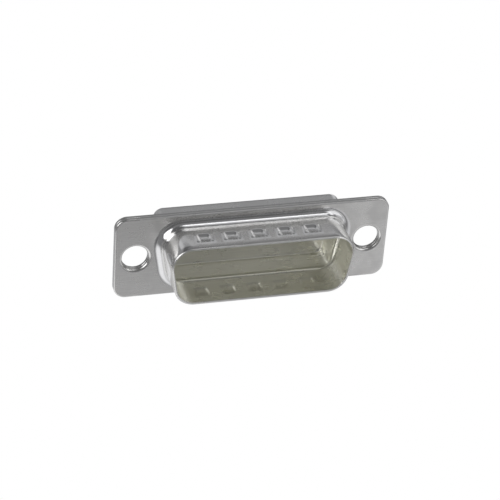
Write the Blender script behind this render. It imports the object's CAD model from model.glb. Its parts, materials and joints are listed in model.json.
import json
import math

import bmesh
import bpy
from mathutils import Matrix, Vector


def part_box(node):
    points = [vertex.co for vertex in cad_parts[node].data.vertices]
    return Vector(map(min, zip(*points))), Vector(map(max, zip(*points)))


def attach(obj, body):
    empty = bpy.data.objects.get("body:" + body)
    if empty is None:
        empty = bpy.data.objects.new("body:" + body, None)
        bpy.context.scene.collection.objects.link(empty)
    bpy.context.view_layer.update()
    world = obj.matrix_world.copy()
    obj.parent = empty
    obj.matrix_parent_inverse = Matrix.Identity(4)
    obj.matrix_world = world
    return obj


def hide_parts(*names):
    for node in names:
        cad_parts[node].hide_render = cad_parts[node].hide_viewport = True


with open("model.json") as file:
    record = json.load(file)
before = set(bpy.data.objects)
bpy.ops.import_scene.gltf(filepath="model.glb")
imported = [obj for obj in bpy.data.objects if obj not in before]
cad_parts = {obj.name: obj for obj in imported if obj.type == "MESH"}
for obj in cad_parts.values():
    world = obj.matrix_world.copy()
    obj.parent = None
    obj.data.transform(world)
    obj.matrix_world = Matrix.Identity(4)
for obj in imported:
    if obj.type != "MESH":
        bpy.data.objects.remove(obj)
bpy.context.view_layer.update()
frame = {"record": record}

# ---------------------------------------------------------------- sizes, in metres

MM = 0.001
FRONT_LOW, FRONT_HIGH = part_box("front_shell")
REAR_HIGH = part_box("rear_shell")[1]
HOLES = next(m for m in frame["record"]["mounts"] if m["name"] == "panel_holes")

FLANGE_W = FRONT_HIGH.x - FRONT_LOW.x
FLANGE_H = FRONT_HIGH.z - FRONT_LOW.z
FLANGE_R = 1.7 * MM
SHEET_T = FRONT_HIGH.y
HOLE_X = HOLES["dims"]["spacing_x_mm"] * MM / 2
HOLE_R = HOLES["dims"]["hole_r_mm"] * MM
EDGE_ROLL = 0.16 * MM         # rounding that the punch leaves on the side it enters
EDGE_BARE = 1.0               # 1 for torn metal between the roll and the burr, 0 for polished
EDGE_DULL = 0.7               # the flange's long edges are dull over their whole thickness
HOLE_BARE = 0.3               # the screw holes are punched clean
HOLE_ROLL = 0.36 * MM
ROLL_FOOT = 0.1               # at the foot of a roll, this share of it inward, the metal is torn
ROLL_TORN = 0.6
ROLL_START_WORN = 0.4         # wear on the line where a roll starts, against 1 over the roll
BAND_LEVELS = (0.65, 0.85)    # levels of the band under a roll, as shares of the sheet's thickness
BURR_BREAK = 0.03 * MM        # broken burr on the side it leaves
BURR_TORN = 0.5
BURR_WORN = 0.6
SUPPORT = 0.12 * MM           # flat strip beside a rounding, so the flat next to it shades flat

SLOPE = math.radians(10)
WALL_T = 0.4 * MM
MOUTH_W = 25.25 * MM
MOUTH_H = 8.36 * MM
MOUTH_R = 2.6 * MM
RIM_Y = FRONT_LOW.y
BEND_R = 1.0 * MM
LIP = 0.2 * MM
RIM_ROUND = 0.15 * MM         # roll on the rim's outer edge
RIM_FLAT = 0.8                # 0 for a round roll, 1 for a bevel
RIM_BREAK = 0.05 * MM         # the smaller one on its inner edge
WALL_TURNS = ((0.11 * MM, 3.2 * MM), (0.08 * MM, 1.0 * MM))  # how far, and over what length, it closes in
TURN_FADE = 1.2               # it sets in from the bottom up, over 1 / 1.2 of the mouth's height
RIM_BARE = 0.4                # share of bare metal on the rim
RIM_TINT_IN = 0.6             # how much of the inside's tone its inner edge has
RIM_TINT_OUT = 0.3            # and its outer edge
WEAR_SHIFT = 1.5 * MM         # the stretch of the rim that isn't worn: its middle,
WEAR_FREE = 4 * MM            # half its length,
WEAR_RUN = 5 * MM             # and how far the wear takes to set in
WEAR_DULL = 0.4               # bare metal added where there is no wear
FLAT_BURNISH = 0.20           # burnish on the long flat walls, against 1 on bends and corners
BURNISH_LEAD = 1.5 * MM       # it starts to rise this far before the corner's centre
BURNISH_RUN = 2.5 * MM        # and takes this far

CUP_SPREAD_W = 0.04 * MM
CUP_SPREAD_H = 0.52 * MM
CUP_R = 1.5 * MM
CUP_BACK_R = 0.9 * MM
CUP_BEND_R = 0.5 * MM
CUP_BACK_Y = REAR_HIGH.y
CUP_FLOOR_R = 0.36 * MM       # inside the cup the press leaves tighter bends
CUP_ENTRY_R = 0.7 * MM

DIMPLES = 5
DIMPLE_PITCH = 3.8 * MM
DIMPLE_SHIFT = -0.40 * MM     # the row sits a little to one side
DIMPLE_W = 2.0 * MM           # from crest to crest, along the row
DIMPLE_L = 2.0 * MM           # across the row
DIMPLE_GROWTH = 0.1 * MM      # added all round to the bumps inside
DIMPLE_END = 0.42 * MM        # length of the slope at each end of a dimple
DIMPLE_LIP = 0.07 * MM        # height of the crest that the punch raises at each end
DIMPLE_LIP_L = 0.26 * MM      # length of the crest's outer slope
DIMPLE_HOLLOW = 2.0           # 2 for a round hollow across a dimple, more for a flatter floor
DIMPLE_BAR = 3.0              # multiplies that for the crests, which are nearly straight across
DIMPLE_SHINE = (1.3, 1.6)     # the punch's polish fades between these multiples of a dimple's half size
DIMPLE_Y = RIM_Y + 2.5 * MM
DIMPLE_PRESS = 0.14 * MM
DIMPLE_INNER = 1.3            # height of the bump inside, against the press outside
WALL_BAND = 0.55              # share of the wall's thickness, each way from its middle, that is pressed

FLAT_STEP = 0.1 * MM          # mesh spacing where the dimples are pressed
PLAIN_STEP = 0.25 * MM        # mesh spacing elsewhere
CORNER_STEPS = 20
FLANGE_CORNER_STEPS = 14
BEND_STEPS = 14
ROLL_STEPS = 7
HOLE_STEPS = 96
SHARP_ANGLE = math.radians(38)  # edges sharper than this stay sharp in the shading


# ---------------------------------------------------------------- outlines

def d_corners(width, height, radius):
    """Centres of a D outline's four corners, counter-clockwise from the upper right.

    width is the outline's width at half its height.
    """
    centres = []
    for side, level in ((1, 1), (-1, 1), (-1, -1), (1, -1)):
        z = level * (height / 2 - radius)
        centres.append((side * (width / 2 - radius / math.cos(SLOPE) + z * math.tan(SLOPE)), z))
    return centres


def outline(centres, radius, lean, long_step, corner_steps=CORNER_STEPS):
    """Points of an outline round four corner centres. Every offset of it has the same number of points."""
    turns = [(-lean, math.pi / 2), (math.pi / 2, math.pi + lean),
             (math.pi + lean, 3 * math.pi / 2), (3 * math.pi / 2, 2 * math.pi - lean)]
    points = []
    for i, (start, end) in enumerate(turns):
        cx, cz = centres[i]
        for k in range(corner_steps + 1):
            a = start + (end - start) * k / corner_steps
            points.append((cx + radius * math.cos(a), cz + radius * math.sin(a)))
        nx, nz = centres[(i + 1) % 4]
        run = math.hypot(nx - cx, nz - cz)
        count = max(2, round(run / long_step))
        last = points[-1]
        first = (nx + radius * math.cos(end), nz + radius * math.sin(end))
        for k in range(1, count):
            f = k / count
            points.append((last[0] + (first[0] - last[0]) * f, last[1] + (first[1] - last[1]) * f))
    return points


def arc(centre, radius, start, end, steps):
    """Points of an arc in a section, with its angles in degrees."""
    points = []
    for k in range(steps + 1):
        a = math.radians(start + (end - start) * k / steps)
        points.append((centre[0] + radius * math.cos(a), centre[1] + radius * math.sin(a)))
    return points


def flattened(points, share):
    """A curve drawn toward its chord: not at all for a share of 0, all the way for 1."""
    (ax, ay), (bx, by) = points[0], points[-1]
    last = len(points) - 1
    return [(x + share * (ax + (bx - ax) * k / last - x), y + share * (ay + (by - ay) * k / last - y))
            for k, (x, y) in enumerate(points)]


def straight(a, b, step):
    """Points between a and b, without both ends."""
    count = max(1, round(math.hypot(b[0] - a[0], b[1] - a[1]) / step))
    return [(a[0] + (b[0] - a[0]) * k / count, a[1] + (b[1] - a[1]) * k / count) for k in range(1, count)]


# ---------------------------------------------------------------- mesh building

class Sheet:
    """A sheet-metal piece in the making.

    Each point of its mesh knows how far it is cut, worn, inside the form or polished by drawing.
    """

    def __init__(self):
        self.mesh = bmesh.new()
        self.cut = self.mesh.verts.layers.float.new("cut_edge")
        self.worn = self.mesh.verts.layers.float.new("worn_edge")
        self.inside = self.mesh.verts.layers.float.new("inside")
        self.drawn = self.mesh.verts.layers.float.new("drawn")

    def ring(self, points, y, cut=0.0, worn=0.0, inside=0.0, drawn=0.0):
        """Points of a closed outline at one depth, with their finish."""
        verts = [self.mesh.verts.new((x, y, z)) for x, z in points]
        for v in verts:
            v[self.cut] = cut
            v[self.worn] = worn
            v[self.inside] = inside
            v[self.drawn] = drawn
        return verts

    def polish(self, ring, flat_x, least):
        """Takes the burnish down on the long flat sides of a ring, out to flat_x from the middle."""
        for v in ring:
            share = min(1.0, max(0.0, (abs(v.co.x) - flat_x + BURNISH_LEAD) / BURNISH_RUN))
            v[self.drawn] *= least + (1 - least) * share

    def dull_middle(self, ring):
        """Leaves the wear of a rim ring on its two ends."""
        for v in ring:
            share = min(1.0, max(abs(v.co.x - WEAR_SHIFT) - WEAR_FREE, 0) / WEAR_RUN)
            v[self.worn] *= share
            v[self.cut] += WEAR_DULL * (1 - share)

    def skin(self, rings):
        """Quads between neighbouring rings."""
        for a, b in zip(rings, rings[1:]):
            for i in range(len(a)):
                j = (i + 1) % len(a)
                self.mesh.faces.new((a[i], a[j], b[j], b[i]))

    def fill(self, rings):
        """A flat face bounded by its first ring, with the others as holes."""
        edges = []
        for ring in rings:
            for i in range(len(ring)):
                pair = (ring[i], ring[(i + 1) % len(ring)])
                edges.append(self.mesh.edges.get(pair) or self.mesh.edges.new(pair))
        bmesh.ops.triangle_fill(self.mesh, edges=edges, use_beauty=True, normal=(0, 1, 0))

    def cap(self, ring):
        """One flat face that closes a ring."""
        self.mesh.faces.new(ring)

    def finish(self, name):
        """A plain mesh object of the piece, closed, with its faces outward and smooth."""
        bmesh.ops.recalc_face_normals(self.mesh, faces=self.mesh.faces)
        data = bpy.data.meshes.new(name)
        self.mesh.to_mesh(data)
        self.mesh.free()
        data.shade_smooth()
        data.set_sharp_from_angle(angle=SHARP_ANGLE)
        piece = bpy.data.objects.new(name, data)
        bpy.context.scene.collection.objects.link(piece)
        return piece


def cut_edge_section(y_in, y_out, roll, bare):
    """Section of a punched edge, from the face that the punch enters to the one it leaves.

    Each of its points is (inset, y, cut, worn). bare is how rough the metal is left between roll and burr.
    A roll that reaches deeper than the first of BAND_LEVELS overlaps the band there, as the holes' rolls do.
    """
    section = [(roll + SUPPORT, y_in, 0, 0)]
    step = 1 if y_out > y_in else -1
    for g, d in arc((roll, roll), roll, 270, 180, ROLL_STEPS):
        torn = ROLL_TORN if g <= ROLL_FOOT * roll else 0.0
        worn = 1.0 if g < roll else ROLL_START_WORN
        section.append((g, y_in + step * d, torn, worn))
    section += [(0, y_in + step * abs(y_out - y_in) * level, bare, 0) for level in BAND_LEVELS]
    section += [(0, y_out - step * BURR_BREAK, 1, BURR_WORN), (BURR_BREAK, y_out, BURR_TORN, BURR_WORN),
                (BURR_BREAK + SUPPORT, y_out, 0, 0)]
    return section


def flange(sheet, y_front, y_back, lip_front, lip_back):
    """Flat flange with two screw holes, joined to a drawn form at its front and back lip rings."""
    corners = [(sx * (FLANGE_W / 2 - FLANGE_R), sz * (FLANGE_H / 2 - FLANGE_R))
               for sx, sz in ((1, 1), (-1, 1), (-1, -1), (1, -1))]
    edge = [sheet.ring(outline(corners, FLANGE_R - g, 0, 2 * PLAIN_STEP, FLANGE_CORNER_STEPS), y, cut, worn)
            for g, y, cut, worn in cut_edge_section(y_front, y_back, EDGE_ROLL, EDGE_BARE)]
    for v in (v for ring in edge[1:-1] for v in ring if abs(v.co.x) < FLANGE_W / 2 - 2 * FLANGE_R):
        v[sheet.cut] = max(v[sheet.cut], EDGE_DULL)
        v[sheet.worn] = 0
    sheet.skin(edge)
    fronts, backs = [edge[0], lip_front], [edge[-1], lip_back]
    for side in (1, -1):
        bore = []
        for g, y, cut, worn in cut_edge_section(y_front, y_back, HOLE_ROLL, HOLE_BARE):
            turn = [2 * math.pi * k / HOLE_STEPS for k in range(HOLE_STEPS)]
            circle = [(side * HOLE_X + (HOLE_R + g) * math.cos(a), (HOLE_R + g) * math.sin(a)) for a in turn]
            bore.append(sheet.ring(circle, y, cut, worn))
        sheet.skin(bore)
        fronts.append(bore[0])
        backs.append(bore[-1])
    sheet.fill(fronts)
    sheet.fill(backs)


def wall_outline():
    """Corner centres, radius, width and height of the mouth wall's outer outline."""
    height = MOUTH_H + 2 * WALL_T
    reach = MOUTH_R - MOUTH_R / math.cos(SLOPE) + (MOUTH_H / 2 - MOUTH_R) * math.tan(SLOPE)
    width = MOUTH_W - 2 * reach + 2 * WALL_T / math.cos(SLOPE)
    return d_corners(width, height, MOUTH_R + WALL_T), MOUTH_R + WALL_T, width, height


def turned_in(centres, radius, g, y):
    """Outline of the mouth wall's outer side, which closes in toward the rim except along the bottom."""
    plain = outline(centres, radius + g, SLOPE, FLAT_STEP)
    turn = sum(reach * min(1.0, max(0.0, (RIM_Y + length - y) / length)) ** 2 for reach, length in WALL_TURNS)
    closed = outline(centres, radius + g - turn, SLOPE, FLAT_STEP)
    points = []
    for (ax, az), (bx, bz) in zip(plain, closed):
        part = min(1.0, max(0.0, 0.5 + az / MOUTH_H * TURN_FADE))
        points.append((ax + (bx - ax) * part, az + (bz - az) * part))
    return points


def front_shell_sheet():
    """Front shell: flange, bend and mouth wall in one sheet."""
    centres, radius, _, _ = wall_outline()
    inner_r = BEND_R + SHEET_T
    inner_bend = arc((inner_r - WALL_T, SHEET_T - inner_r), inner_r, 90, 180, BEND_STEPS)
    outer_bend = arc((BEND_R, -BEND_R), BEND_R, 180, 90, BEND_STEPS)
    rim_in = arc((RIM_BREAK - WALL_T, RIM_Y + RIM_BREAK), RIM_BREAK, 180, 270, ROLL_STEPS)
    rim_out = flattened(arc((-RIM_ROUND, RIM_Y + RIM_ROUND), RIM_ROUND, 270, 360, ROLL_STEPS), RIM_FLAT)
    inner = [(BEND_R + LIP, SHEET_T)] + inner_bend + straight(inner_bend[-1], rim_in[0], FLAT_STEP)
    outer = straight(rim_out[-1], outer_bend[0], FLAT_STEP) + outer_bend + [(BEND_R + LIP, 0)]
    sheet = Sheet()
    rings = []
    for g, y in inner:
        rings.append(sheet.ring(outline(centres, radius + g, SLOPE, FLAT_STEP), y, inside=1))
    for g, y in rim_in:
        rings.append(sheet.ring(outline(centres, radius + g, SLOPE, FLAT_STEP), y, RIM_BARE, 1, RIM_TINT_IN))
        sheet.dull_middle(rings[-1])
    for g, y in rim_out:
        rings.append(sheet.ring(turned_in(centres, radius, g, y), y, RIM_BARE, 1, RIM_TINT_OUT))
        sheet.dull_middle(rings[-1])
    for g, y in outer:
        rings.append(sheet.ring(turned_in(centres, radius, g, y), y, drawn=0 if g > BEND_R else 1))
        if g <= 0:
            sheet.polish(rings[-1], centres[0][0], FLAT_BURNISH)
    sheet.skin(rings)
    flange(sheet, 0, SHEET_T, rings[-1], rings[0])
    return sheet.finish("front_shell_sheet")


def rear_shell_sheet():
    """Rear shell: flange, bend and closed cup in one sheet."""
    _, _, wall_w, wall_h = wall_outline()
    centres = d_corners(wall_w + 2 * CUP_SPREAD_W, wall_h + 2 * CUP_SPREAD_H, CUP_R)
    front = SHEET_T
    back = 2 * SHEET_T
    floor_centre = (-WALL_T - CUP_FLOOR_R, CUP_BACK_Y - WALL_T - CUP_FLOOR_R)
    floor_bend = arc(floor_centre, CUP_FLOOR_R, 90, 0, BEND_STEPS)
    entry_bend = arc((CUP_ENTRY_R - WALL_T, front + CUP_ENTRY_R), CUP_ENTRY_R, 180, 270, BEND_STEPS)
    root_bend = arc((CUP_BEND_R, back + CUP_BEND_R), CUP_BEND_R, 270, 180, BEND_STEPS)
    back_bend = arc((-CUP_BACK_R, CUP_BACK_Y - CUP_BACK_R), CUP_BACK_R, 0, 90, BEND_STEPS)
    lip = CUP_BEND_R + LIP
    inside = [(floor_bend[0][0] - SUPPORT, floor_bend[0][1])] + floor_bend
    inside += straight(floor_bend[-1], entry_bend[0], PLAIN_STEP) + entry_bend + [(lip, front)]
    outside = [(lip, back)] + root_bend + straight(root_bend[-1], back_bend[0], PLAIN_STEP) + back_bend
    outside += [(back_bend[-1][0] - SUPPORT, CUP_BACK_Y)]
    sheet = Sheet()
    inner = [sheet.ring(outline(centres, CUP_R + g, SLOPE, PLAIN_STEP), y, inside=1) for g, y in inside]
    outer = [sheet.ring(outline(centres, CUP_R + g, SLOPE, PLAIN_STEP), y, drawn=0 if g == lip else 1)
             for g, y in outside]
    sheet.skin(inner)
    sheet.skin(outer)
    sheet.cap(inner[0])
    sheet.cap(outer[-1])
    flange(sheet, front, back, inner[-1], outer[0])
    return sheet.finish("rear_shell_sheet")


# ---------------------------------------------------------------- geometry nodes: the dimples

class Tree:
    """Short way to place and join nodes in a tree."""

    def __init__(self, tree):
        self.tree = tree

    def node(self, kind, **settings):
        n = self.tree.nodes.new(kind)
        for key, value in settings.items():
            setattr(n, key, value)
        return n

    def put(self, socket, value):
        """Joins a socket to another one, or gives it a plain value."""
        if isinstance(value, bpy.types.NodeSocket):
            self.tree.links.new(value, socket)
        else:
            socket.default_value = value

    def math(self, operation, *values, clamp=False):
        n = self.node("ShaderNodeMath", operation=operation, use_clamp=clamp)
        for socket, value in zip(n.inputs, values):
            self.put(socket, value)
        return n.outputs[0]

    def ramp(self, value, low, high, to_low=0.0, to_high=1.0):
        """Smooth step of a value between two levels."""
        n = self.node("ShaderNodeMapRange", interpolation_type="SMOOTHSTEP")
        for key, v in (("Value", value), ("From Min", low), ("From Max", high),
                       ("To Min", to_low), ("To Max", to_high)):
            self.put(n.inputs[key], v)
        return n.outputs[0]

    def mix(self, share, first, second, blend="MIX"):
        """Blend of two colours."""
        n = self.node("ShaderNodeMix", data_type="RGBA", blend_type=blend)
        for socket, value in zip((n.inputs[0], n.inputs[6], n.inputs[7]), (share, first, second)):
            self.put(socket, value)
        return n.outputs[2]


def add_input(tree, name, kind, value):
    """Named input of a node group, with its value."""
    socket = tree.interface.new_socket(name, in_out="INPUT", socket_type=kind)
    socket.default_value = value


def dimple_inputs(tree):
    """Sizes of the row of dimples, as inputs of its tree."""
    tree.interface.new_socket("Geometry", in_out="INPUT", socket_type="NodeSocketGeometry")
    add_input(tree, "Count", "NodeSocketInt", DIMPLES)
    for name, value in (("Pitch", DIMPLE_PITCH), ("Half width", DIMPLE_W / 2), ("Half length", DIMPLE_L / 2),
                        ("End slope", DIMPLE_END), ("Lip", DIMPLE_LIP), ("Lip slope", DIMPLE_LIP_L),
                        ("Hollow", DIMPLE_HOLLOW), ("Press", DIMPLE_PRESS),
                        ("Inner share", DIMPLE_INNER), ("Row shift", DIMPLE_SHIFT),
                        ("Centre depth", DIMPLE_Y), ("Wall middle", MOUTH_H / 2 + WALL_T / 2),
                        ("Wall thickness", WALL_T), ("Inner growth", DIMPLE_GROWTH)):
        add_input(tree, name, "NodeSocketFloat", value)
    add_input(tree, "Material", "NodeSocketMaterial", None)
    tree.interface.new_socket("Geometry", in_out="OUTPUT", socket_type="NodeSocketGeometry")


def from_nearest_dimple(t, given, x, y):
    """Distance along and across the row from the nearest dimple's centre."""
    x = t.math("SUBTRACT", x, given["Row shift"])
    middle = t.math("DIVIDE", t.math("SUBTRACT", given["Count"], 1.0), 2.0)
    index = t.math("ROUND", t.math("ADD", t.math("DIVIDE", x, given["Pitch"]), middle))
    index = t.math("MINIMUM", t.math("MAXIMUM", index, 0.0), t.math("SUBTRACT", given["Count"], 1.0))
    centre = t.math("MULTIPLY", t.math("SUBTRACT", index, middle), given["Pitch"])
    along = t.math("ABSOLUTE", t.math("SUBTRACT", x, centre))
    across = t.math("ABSOLUTE", t.math("SUBTRACT", y, given["Centre depth"]))
    return along, across


def dimple_depth(t, given, along, across, half_w, half_l, outer):
    """How far the wall is pressed in: a hollow across the dimple, with a straight slope at each end.

    On the outer face a crest stands past each end. The inner face has its own share of the depth.
    """
    end_share = t.math("DIVIDE", t.math("SUBTRACT", half_w, along), given["End slope"], clamp=True)
    side_share = t.math("DIVIDE", across, half_l, clamp=True)
    hollow = t.math("SUBTRACT", 1.0, t.math("POWER", side_share, given["Hollow"]))
    flatter = t.math("MULTIPLY", DIMPLE_BAR, given["Hollow"])
    bar = t.math("SUBTRACT", 1.0, t.math("POWER", side_share, flatter))
    past = t.math("DIVIDE", t.math("SUBTRACT", t.math("ADD", half_w, given["Lip slope"]), along),
                  given["Lip slope"], clamp=True)
    crest = t.math("MINIMUM", t.math("SUBTRACT", 1.0, end_share), past)
    inner = t.math("SUBTRACT", 1.0, outer)
    sunk = t.math("MULTIPLY", t.math("MULTIPLY", given["Press"], end_share), hollow)
    sunk = t.math("MULTIPLY", sunk, t.math("ADD", outer, t.math("MULTIPLY", inner, given["Inner share"])))
    raised = t.math("MULTIPLY", t.math("MULTIPLY", given["Lip"], crest), t.math("MULTIPLY", bar, outer))
    return t.math("SUBTRACT", sunk, raised)


def dimple_tree():
    """Geometry nodes that press a row of soft dimples into each long wall of the mouth."""
    tree = bpy.data.node_groups.new("press_dimples", "GeometryNodeTree")
    dimple_inputs(tree)
    t = Tree(tree)
    given = t.node("NodeGroupInput").outputs
    place = t.node("ShaderNodeSeparateXYZ")
    t.put(place.inputs[0], t.node("GeometryNodeInputPosition").outputs[0])
    x, y, z = place.outputs
    along, across = from_nearest_dimple(t, given, x, y)

    # The inner face of the wall gets a slightly larger form than the outer one
    height = t.math("ABSOLUTE", z)
    grow = t.math("MULTIPLY", t.math("LESS_THAN", height, given["Wall middle"]), given["Inner growth"])
    half_w = t.math("ADD", given["Half width"], grow)
    half_l = t.math("ADD", given["Half length"], grow)

    # Only the two long walls are pressed, each toward the middle of the mouth
    outer = t.math("GREATER_THAN", height, given["Wall middle"])
    band = t.math("MULTIPLY", given["Wall thickness"], WALL_BAND)
    on_wall = t.math("COMPARE", height, given["Wall middle"], band)
    depth = t.math("MULTIPLY", dimple_depth(t, given, along, across, half_w, half_l, outer), on_wall)
    move = t.node("ShaderNodeCombineXYZ")
    t.put(move.inputs[2], t.math("MULTIPLY", depth, t.math("MULTIPLY", t.math("SIGN", z), -1.0)))

    # The punch burnishes what it touches
    earlier = t.node("GeometryNodeInputNamedAttribute", data_type="FLOAT")
    t.put(earlier.inputs["Name"], "drawn")
    far = t.math("MAXIMUM", t.math("DIVIDE", along, half_w), t.math("DIVIDE", across, half_l))
    touched = t.math("MULTIPLY", t.ramp(far, *DIMPLE_SHINE, 1.0, 0.0), t.math("MULTIPLY", on_wall, outer))
    marked = t.node("GeometryNodeStoreNamedAttribute", data_type="FLOAT", domain="POINT")
    t.put(marked.inputs["Geometry"], given["Geometry"])
    t.put(marked.inputs["Name"], "drawn")
    t.put(marked.inputs["Value"], t.math("MAXIMUM", earlier.outputs["Attribute"], touched))

    pressed = t.node("GeometryNodeSetPosition")
    t.put(pressed.inputs["Geometry"], marked.outputs["Geometry"])
    t.put(pressed.inputs["Offset"], move.outputs[0])
    real = t.node("GeometryNodeRealizeInstances")
    t.put(real.inputs[0], pressed.outputs[0])
    dressed = t.node("GeometryNodeSetMaterial")
    t.put(dressed.inputs["Geometry"], real.outputs[0])
    t.put(dressed.inputs["Material"], given["Material"])
    t.put(t.node("NodeGroupOutput").inputs[0], dressed.outputs[0])
    return tree


def press_dimples(piece, material):
    """Runs the dimple tree on a piece and turns the result into its plain mesh."""
    modifier = piece.modifiers.new("dimples", "NODES")
    modifier.node_group = dimple_tree()
    sockets = {s.name: s.identifier for s in modifier.node_group.interface.items_tree if s.in_out == "INPUT"}
    modifier[sockets["Material"]] = material
    bpy.context.view_layer.update()
    shown = piece.evaluated_get(bpy.context.evaluated_depsgraph_get())
    data = bpy.data.meshes.new_from_object(shown)
    piece.modifiers.remove(modifier)
    piece.data = data


# ---------------------------------------------------------------- materials

SMUDGE_SCALE = 420            # patches of each pattern to a metre
FINE_SCALE = 9000
LINE_SCALE = 5200
LINE_STRETCH = (0.03, 1, 1)   # draw lines run along the piece
SWELL_SCALE = 700
SWELL = 0.6                   # height of the slow swell, against the grain's and draw lines' own
DRAWN_TINT = 0.7              # how much of its own tone a drawn wall has
SMUDGE_SPREAD = (0.38, 0.66)            # levels of the noise at which smudges start and are full
LINE_TONE = (0.35, 0.7, 0.965, 1.02)    # levels of the draw lines, and the tones they multiply by
CUT_GRAIN = (0.2, 0.7, 0.7, 1.0)        # levels of the fine grain, and how bare a cut is there
LINE_ROUGH = 0.10
CUT_ROUGH = 0.22
WORN_SMOOTH = 0.10
BUMP_STRENGTH = 0.5
BUMP_HEIGHT = 0.006 * MM
FRONT_SEED = 1.0
REAR_SEED = 7.0
REAR_DRAWN = (0.93, 0.93, 0.92, 1)  # the rear cup is paler, and not burnished


def finish_sockets(tree):
    """Inputs of the shared finish with their usual values, and its outputs."""
    for name, value in (("Clean", (0.89, 0.88, 0.85, 1)), ("Dull", (0.82, 0.81, 0.785, 1)),
                        ("Drawn", (0.875, 0.875, 0.87, 1)), ("Inside", (0.92, 0.912, 0.84, 1)),
                        ("Bare cut", (0.62, 0.62, 0.61, 1))):
        add_input(tree, name, "NodeSocketColor", value)
    for name, value in (("Roughness", 0.27), ("Roughness spread", 0.06), ("Burnish", 0.16),
                        ("Draw lines", 0.08), ("Grain", 0.08), ("Seed", 0.0)):
        add_input(tree, name, "NodeSocketFloat", value)
    tree.interface.new_socket("Color", in_out="OUTPUT", socket_type="NodeSocketColor")
    tree.interface.new_socket("Roughness", in_out="OUTPUT", socket_type="NodeSocketFloat")
    tree.interface.new_socket("Height", in_out="OUTPUT", socket_type="NodeSocketFloat")


def finish_noise(t, seed, scale, stretch=(1, 1, 1), detail=4.0, rough=0.55):
    """Noise fixed to the piece."""
    mapping = t.node("ShaderNodeMapping")
    t.put(mapping.inputs["Vector"], t.node("ShaderNodeTexCoord").outputs["Object"])
    t.put(mapping.inputs["Scale"], stretch)
    n = t.node("ShaderNodeTexNoise", noise_dimensions="4D")
    t.put(n.inputs["Vector"], mapping.outputs[0])
    t.put(n.inputs["W"], seed)
    t.put(n.inputs["Scale"], scale)
    t.put(n.inputs["Detail"], detail)
    t.put(n.inputs["Roughness"], rough)
    return n.outputs["Fac"]


def sheet_finish_group():
    """Shared finish of plated sheet: colour, roughness and height from grain, lines, smudges and edges."""
    tree = bpy.data.node_groups.new("plated_sheet_finish", "ShaderNodeTree")
    finish_sockets(tree)
    t = Tree(tree)
    given = t.node("NodeGroupInput").outputs
    seed = given["Seed"]
    smudge = t.ramp(finish_noise(t, seed, SMUDGE_SCALE), *SMUDGE_SPREAD)
    fine = finish_noise(t, seed, FINE_SCALE, detail=3.0, rough=0.7)
    lines = finish_noise(t, seed, LINE_SCALE, LINE_STRETCH, detail=3.0, rough=0.6)
    swell = finish_noise(t, seed, SWELL_SCALE, detail=2.0)
    cut, worn, inside, drawn = (t.node("ShaderNodeAttribute", attribute_name=name).outputs["Fac"]
                                for name in ("cut_edge", "worn_edge", "inside", "drawn"))

    tone = t.mix(smudge, given["Clean"], given["Dull"])
    tone = t.mix(t.math("MULTIPLY", drawn, DRAWN_TINT), tone, given["Drawn"])
    tone = t.mix(inside, tone, given["Inside"])
    tone = t.mix(1.0, tone, t.ramp(lines, *LINE_TONE), "MULTIPLY")
    tone = t.mix(t.math("MULTIPLY", cut, t.ramp(fine, *CUT_GRAIN)), tone, given["Bare cut"])

    rough = t.math("ADD", given["Roughness"], t.math("MULTIPLY", smudge, given["Roughness spread"]))
    rough = t.math("ADD", rough, t.math("MULTIPLY", t.math("SUBTRACT", lines, 0.5), LINE_ROUGH))
    rough = t.math("ADD", rough, t.math("MULTIPLY", cut, CUT_ROUGH))
    rough = t.math("SUBTRACT", rough, t.math("MULTIPLY", drawn, given["Burnish"]))
    rough = t.math("SUBTRACT", rough, t.math("MULTIPLY", worn, WORN_SMOOTH), clamp=True)

    height = t.math("MULTIPLY", lines, given["Draw lines"])
    height = t.math("ADD", height, t.math("MULTIPLY", fine, given["Grain"]))
    height = t.math("ADD", height, t.math("MULTIPLY", swell, SWELL))
    out = t.node("NodeGroupOutput")
    t.put(out.inputs["Color"], tone)
    t.put(out.inputs["Roughness"], rough)
    t.put(out.inputs["Height"], height)
    return tree


def plated_sheet(name, group, seed, **values):
    """Plated drawn steel with the shared finish. values are the inputs that differ from the usual."""
    material = bpy.data.materials.new(name)
    material.use_nodes = True
    t = Tree(material.node_tree)
    shader = material.node_tree.nodes["Principled BSDF"]
    finish = t.node("ShaderNodeGroup", node_tree=group)
    t.put(finish.inputs["Seed"], seed)
    for key, value in values.items():
        t.put(finish.inputs[key.capitalize()], value)
    bump = t.node("ShaderNodeBump")
    t.put(bump.inputs["Strength"], BUMP_STRENGTH)
    t.put(bump.inputs["Distance"], BUMP_HEIGHT)
    t.put(bump.inputs["Height"], finish.outputs["Height"])
    t.put(shader.inputs["Base Color"], finish.outputs["Color"])
    t.put(shader.inputs["Roughness"], finish.outputs["Roughness"])
    t.put(shader.inputs["Normal"], bump.outputs["Normal"])
    t.put(shader.inputs["Metallic"], 1.0)
    return material


# ---------------------------------------------------------------- stage, lights and camera

VIEW_AZIMUTH = math.radians(-17.25)
VIEW_ELEVATION = math.radians(31.93)
VIEW_ROLL = math.radians(4.218)
VIEW_DISTANCE = 286.5 * MM
VIEW_LENS = 148.4
VIEW_SHIFT = (-0.0052, -0.0039)

ROOM_TONE = 0.11              # what the metal sees of the walls
FLOOR_TONE = 0.20             # and of the far floor
FLOOR_LEVEL = -100 * MM       # the part hangs clear of the floor
FLOOR_REACH = 3.0
LIGHT_DISTANCE = 400 * MM
COOL = (0.98, 0.985, 1.015)

# Patches of the floor: centre and inner and outer radius in millimetres, and the tone that each adds
FLOOR_POOLS = (((0, 0), 140, 260, 0.30),
               ((-84, -84), 45, 115, 0.42),
               ((115, -155), 30, 90, 0.19),
               ((-12, -190), 22, 50, -0.27),
               ((28, -150), 10, 50, -0.20),
               ((-60, 170), 60, 190, 0.22))

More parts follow.
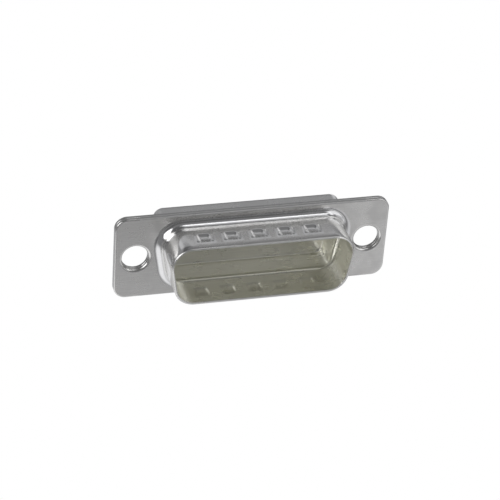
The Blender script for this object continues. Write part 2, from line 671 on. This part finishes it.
# Soft boxes: azimuth, elevation, width and height in degrees, and radiance
SOFT_BOXES = (("left_box", -155, 25, 53, 36, 1.7),
              ("right_box", -44, 19, 33, 40, 0.78),
              ("right_dim", -14, 12, 28, 36, 0.40),
              ("right_low", -36, -14, 68, 20, 0.32),
              ("front_upper", -88, 38, 62, 28, 0.07),
              ("front_right", -64, 8, 14, 36, 0.06),
              ("lamp_strip", -52, 61, 26, 13, 1.15),
              ("lamp_end", -28, 44, 34, 15, 0.75),
              ("lamp_glow", -30, 73, 60, 12, 0.40),
              ("overhead", 25, 68, 76, 38, 0.07),
              ("behind", 76, 29, 74, 24, 0.14),
              ("behind_high", 78, 39.5, 74, 10, 0.19),
              ("behind_right", 53, 8, 24, 18, 0.6),
              ("behind_left", 122, 8, 36, 16, 0.25),
              ("behind_far", 141, 30, 54, 26, 0.14))


def camera():
    """Camera in front, above and a little to the left, with a slight roll."""
    ca, sa = math.cos(VIEW_AZIMUTH), math.sin(VIEW_AZIMUTH)
    ce, se = math.cos(VIEW_ELEVATION), math.sin(VIEW_ELEVATION)
    back = Vector((sa * ce, -ca * ce, se))
    right = Vector((ca, sa, 0))
    up = back.cross(right)
    cr, sr = math.cos(VIEW_ROLL), math.sin(VIEW_ROLL)
    turned_right = cr * right + sr * up
    turned_up = -sr * right + cr * up
    data = bpy.data.cameras.new("view")
    data.lens = VIEW_LENS
    data.sensor_width = 36
    data.shift_x, data.shift_y = VIEW_SHIFT
    data.clip_start = 10 * MM
    made = bpy.data.objects.new("view", data)
    bpy.context.scene.collection.objects.link(made)
    made.matrix_world = Matrix.Translation(back * VIEW_DISTANCE) @ Matrix(
        (turned_right, turned_up, back)).transposed().to_4x4()
    bpy.context.scene.camera = made


def softbox(name, azimuth, elevation, width, height, radiance):
    """Rectangular light facing the part. It adds its radiance to the room's own."""
    az, el = math.radians(azimuth), math.radians(elevation)
    towards = Vector((math.cos(az) * math.cos(el), math.sin(az) * math.cos(el), math.sin(el)))
    data = bpy.data.lights.new(name, "AREA")
    data.shape = "RECTANGLE"
    data.size = 2 * LIGHT_DISTANCE * math.tan(math.radians(width / 2))
    data.size_y = 2 * LIGHT_DISTANCE * math.tan(math.radians(height / 2))
    data.energy = radiance * math.pi * data.size * data.size_y
    data.color = COOL
    made = bpy.data.objects.new(name, data)
    bpy.context.scene.collection.objects.link(made)
    turn = towards.to_track_quat("Z", "Y").to_matrix().to_4x4()
    made.matrix_world = Matrix.Translation(towards * LIGHT_DISTANCE) @ turn
    made.visible_camera = False


def white_to_camera(tree, plain, dim):
    """White for the camera's own rays, and dimmer for reflections and bounced light."""
    t = Tree(tree)
    mix = t.node("ShaderNodeMixShader")
    t.put(mix.inputs[0], t.node("ShaderNodeLightPath").outputs["Is Camera Ray"])
    for socket, strength, tint in ((mix.inputs[1], dim, (*COOL, 1)), (mix.inputs[2], 1.0, (1, 1, 1, 1))):
        glow = t.node(plain)
        t.put(glow.inputs["Color"], tint)
        t.put(glow.inputs["Strength"], strength)
        t.put(socket, glow.outputs[0])
    return mix.outputs[0]


def pool(t, place, centre, inner, outer, gain):
    """Tone that a round patch adds to the floor."""
    gap = t.node("ShaderNodeVectorMath", operation="DISTANCE")
    t.put(gap.inputs[0], place)
    t.put(gap.inputs[1], (centre[0] * MM, centre[1] * MM, FLOOR_LEVEL))
    return t.ramp(gap.outputs["Value"], inner * MM, outer * MM, gain, 0.0)


def floor():
    """Plain pale floor. The light on it is uneven, which shows only in the metal."""
    data = bpy.data.meshes.new("floor")
    corners = [(sx * FLOOR_REACH, sy * FLOOR_REACH, FLOOR_LEVEL)
               for sx, sy in ((-1, -1), (1, -1), (1, 1), (-1, 1))]
    data.from_pydata(corners, [], [(0, 1, 2, 3)])
    material = bpy.data.materials.new("pale_floor")
    material.use_nodes = True
    nodes = material.node_tree.nodes
    nodes.remove(nodes["Principled BSDF"])
    t = Tree(material.node_tree)
    place = t.node("ShaderNodeTexCoord").outputs["Object"]
    tone = FLOOR_TONE
    for patch in FLOOR_POOLS:
        tone = t.math("ADD", pool(t, place, *patch), tone)
    t.put(nodes["Material Output"].inputs["Surface"],
          white_to_camera(material.node_tree, "ShaderNodeEmission", tone))
    data.materials.append(material)
    made = bpy.data.objects.new("floor", data)
    bpy.context.scene.collection.objects.link(made)


def room():
    """Even light from all round, white to the camera."""
    world = bpy.data.worlds.new("room")
    bpy.context.scene.world = world
    world.use_nodes = True
    nodes = world.node_tree.nodes
    nodes.remove(nodes["Background"])
    t = Tree(world.node_tree)
    t.put(nodes["World Output"].inputs["Surface"],
          white_to_camera(world.node_tree, "ShaderNodeBackground", ROOM_TONE))


# ---------------------------------------------------------------- the part

def main():
    camera()
    bpy.context.scene.view_settings.view_transform = "Standard"
    finish = sheet_finish_group()
    front_finish = plated_sheet("plated_sheet_front", finish, FRONT_SEED)
    rear_finish = plated_sheet("plated_sheet_rear", finish, REAR_SEED, burnish=0.0, drawn=REAR_DRAWN)

    front = front_shell_sheet()
    press_dimples(front, front_finish)
    rear = rear_shell_sheet()
    rear.data.materials.append(rear_finish)
    for piece, node, slot in ((front, "front_shell", "plated_steel"),
                              (rear, "rear_shell", "plated_steel_rear")):
        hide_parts(node)
        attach(piece, "root")

    floor()
    room()
    for box in SOFT_BOXES:
        softbox(*box)


main()
